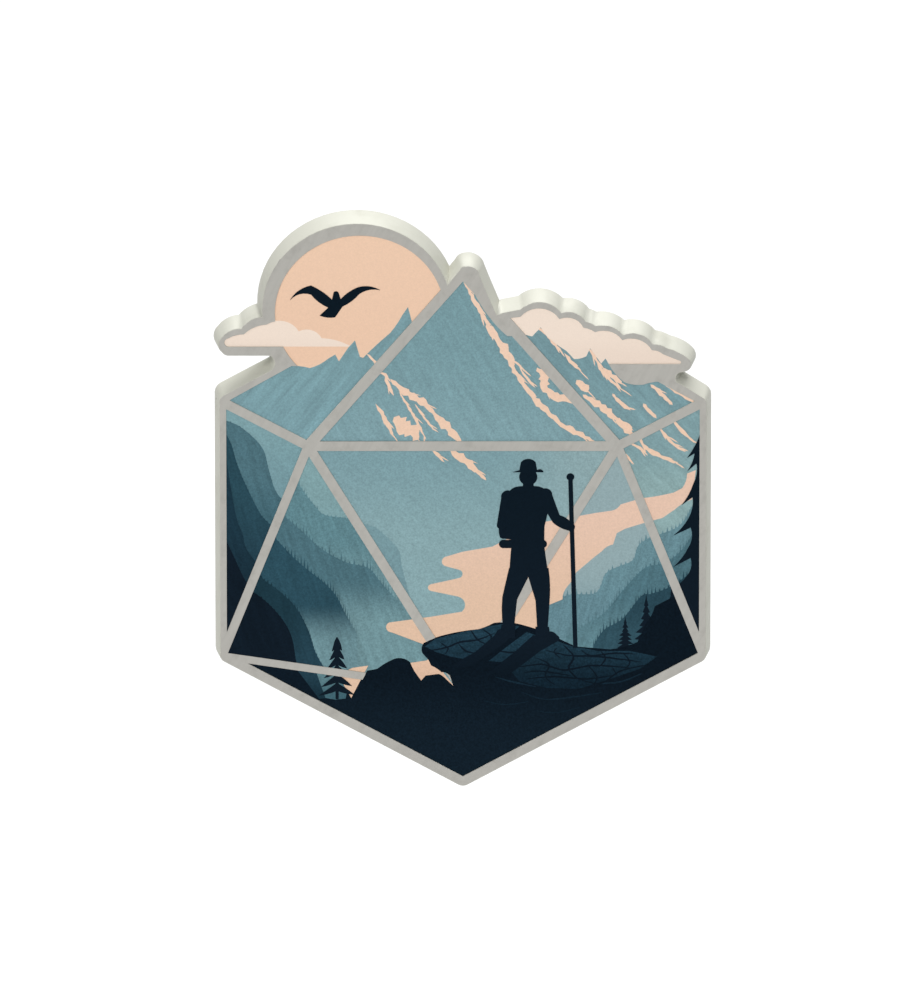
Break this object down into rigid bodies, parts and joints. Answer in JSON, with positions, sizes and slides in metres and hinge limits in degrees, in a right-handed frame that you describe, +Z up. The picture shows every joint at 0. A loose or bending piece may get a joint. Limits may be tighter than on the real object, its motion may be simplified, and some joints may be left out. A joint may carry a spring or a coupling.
{
  "type": "enamel pin",
  "caption": "Thick die-cast pin shaped as a twenty-sided die seen face-on with a mountain landscape in enamel, a sun and clouds at its edge, posts and butterfly clutches behind.",
  "frame": {"origin": "on the flat back face, at the centre of the ridged hexagon", "axes": "+Y out of the back face along the posts, so the picture faces -Y; +X to the right seen from the front; +Z up as the pin is worn"},
  "size_m": [0.0404, 0.0102, 0.0507],
  "materials": {
    "cast_nickel": "bright nickel plate on a die casting, with a satin face",
    "post_steel": "nickel-plated steel",
    "clutch_brass": "stamped brass, lightly polished",
    "spring_brass": "spring brass strip",
    "peach_enamel": "enamel with a fine printed grain",
    "cloud_enamel": "enamel with a fine printed grain",
    "teal_enamel": "enamel with a fine printed grain",
    "deep_blue_enamel": "enamel with a fine printed grain",
    "slate_enamel": "enamel with a fine printed grain",
    "mist_enamel": "enamel with a fine printed grain",
    "navy_enamel": "enamel with a fine printed grain",
    "dark_ink": "satin screen ink"
  },
  "bodies": {
    "badge": {"base": "cast_nickel", "sun": "peach_enamel", "left_cloud": "cloud_enamel", "right_cloud": "cloud_enamel", "left_ridge_cell": "teal_enamel", "peak_cell": "teal_enamel", "right_ridge_cell": "teal_enamel", "left_slope_cell": "deep_blue_enamel", "left_valley_cell": "slate_enamel", "centre_valley_cell": "mist_enamel", "river_cells": "peach_enamel", "right_valley_cell": "slate_enamel", "right_slope_cell": "teal_enamel", "lower_left_cell": "navy_enamel", "ledge_gap_cells": "peach_enamel", "rock_ledge": "navy_enamel", "hiker": "dark_ink", "bird": "dark_ink", "small_fir": "dark_ink", "fir_branches": "dark_ink", "left_post": "post_steel", "right_post": "post_steel"},
    "left_clutch": {"left_clutch_disc": "clutch_brass", "left_clutch_cap": "clutch_brass"},
    "left_outer_wing": {"left_clutch_outer_wing": "spring_brass"},
    "left_inner_wing": {"left_clutch_inner_wing": "spring_brass"},
    "right_clutch": {"right_clutch_disc": "clutch_brass", "right_clutch_cap": "clutch_brass"},
    "right_outer_wing": {"right_clutch_outer_wing": "spring_brass"},
    "right_inner_wing": {"right_clutch_inner_wing": "spring_brass"}
  },
  "joints": [
    {"name": "left_clutch_slide", "type": "slide", "parent": "badge", "child": "left_clutch", "axis": [0, 1, 0], "range_m": [0, 0.012]},
    {"name": "left_outer_wing_squeeze", "type": "hinge", "parent": "left_clutch", "child": "left_outer_wing", "pos_m": [-0.0125, 0.00355, 0.004], "axis": [0, 0, -1], "range_deg": [0, 12], "stiffness_Nm_per_rad": 0.0005},
    {"name": "left_inner_wing_squeeze", "type": "hinge", "parent": "left_clutch", "child": "left_inner_wing", "pos_m": [-0.0075, 0.00355, 0.004], "axis": [0, 0, 1], "range_deg": [0, 12], "stiffness_Nm_per_rad": 0.0005},
    {"name": "right_clutch_slide", "type": "slide", "parent": "badge", "child": "right_clutch", "axis": [0, 1, 0], "range_m": [0, 0.012]},
    {"name": "right_outer_wing_squeeze", "type": "hinge", "parent": "right_clutch", "child": "right_outer_wing", "pos_m": [0.0125, 0.00355, 0.004], "axis": [0, 0, 1], "range_deg": [0, 12], "stiffness_Nm_per_rad": 0.0005},
    {"name": "right_inner_wing_squeeze", "type": "hinge", "parent": "right_clutch", "child": "right_inner_wing", "pos_m": [0.0075, 0.00355, 0.004], "axis": [0, 0, -1], "range_deg": [0, 12], "stiffness_Nm_per_rad": 0.0005}
  ],
  "couplings": [
    {"joint": "left_inner_wing_squeeze", "follows": "left_outer_wing_squeeze", "ratio": 1},
    {"joint": "right_inner_wing_squeeze", "follows": "right_outer_wing_squeeze", "ratio": 1}
  ]
}
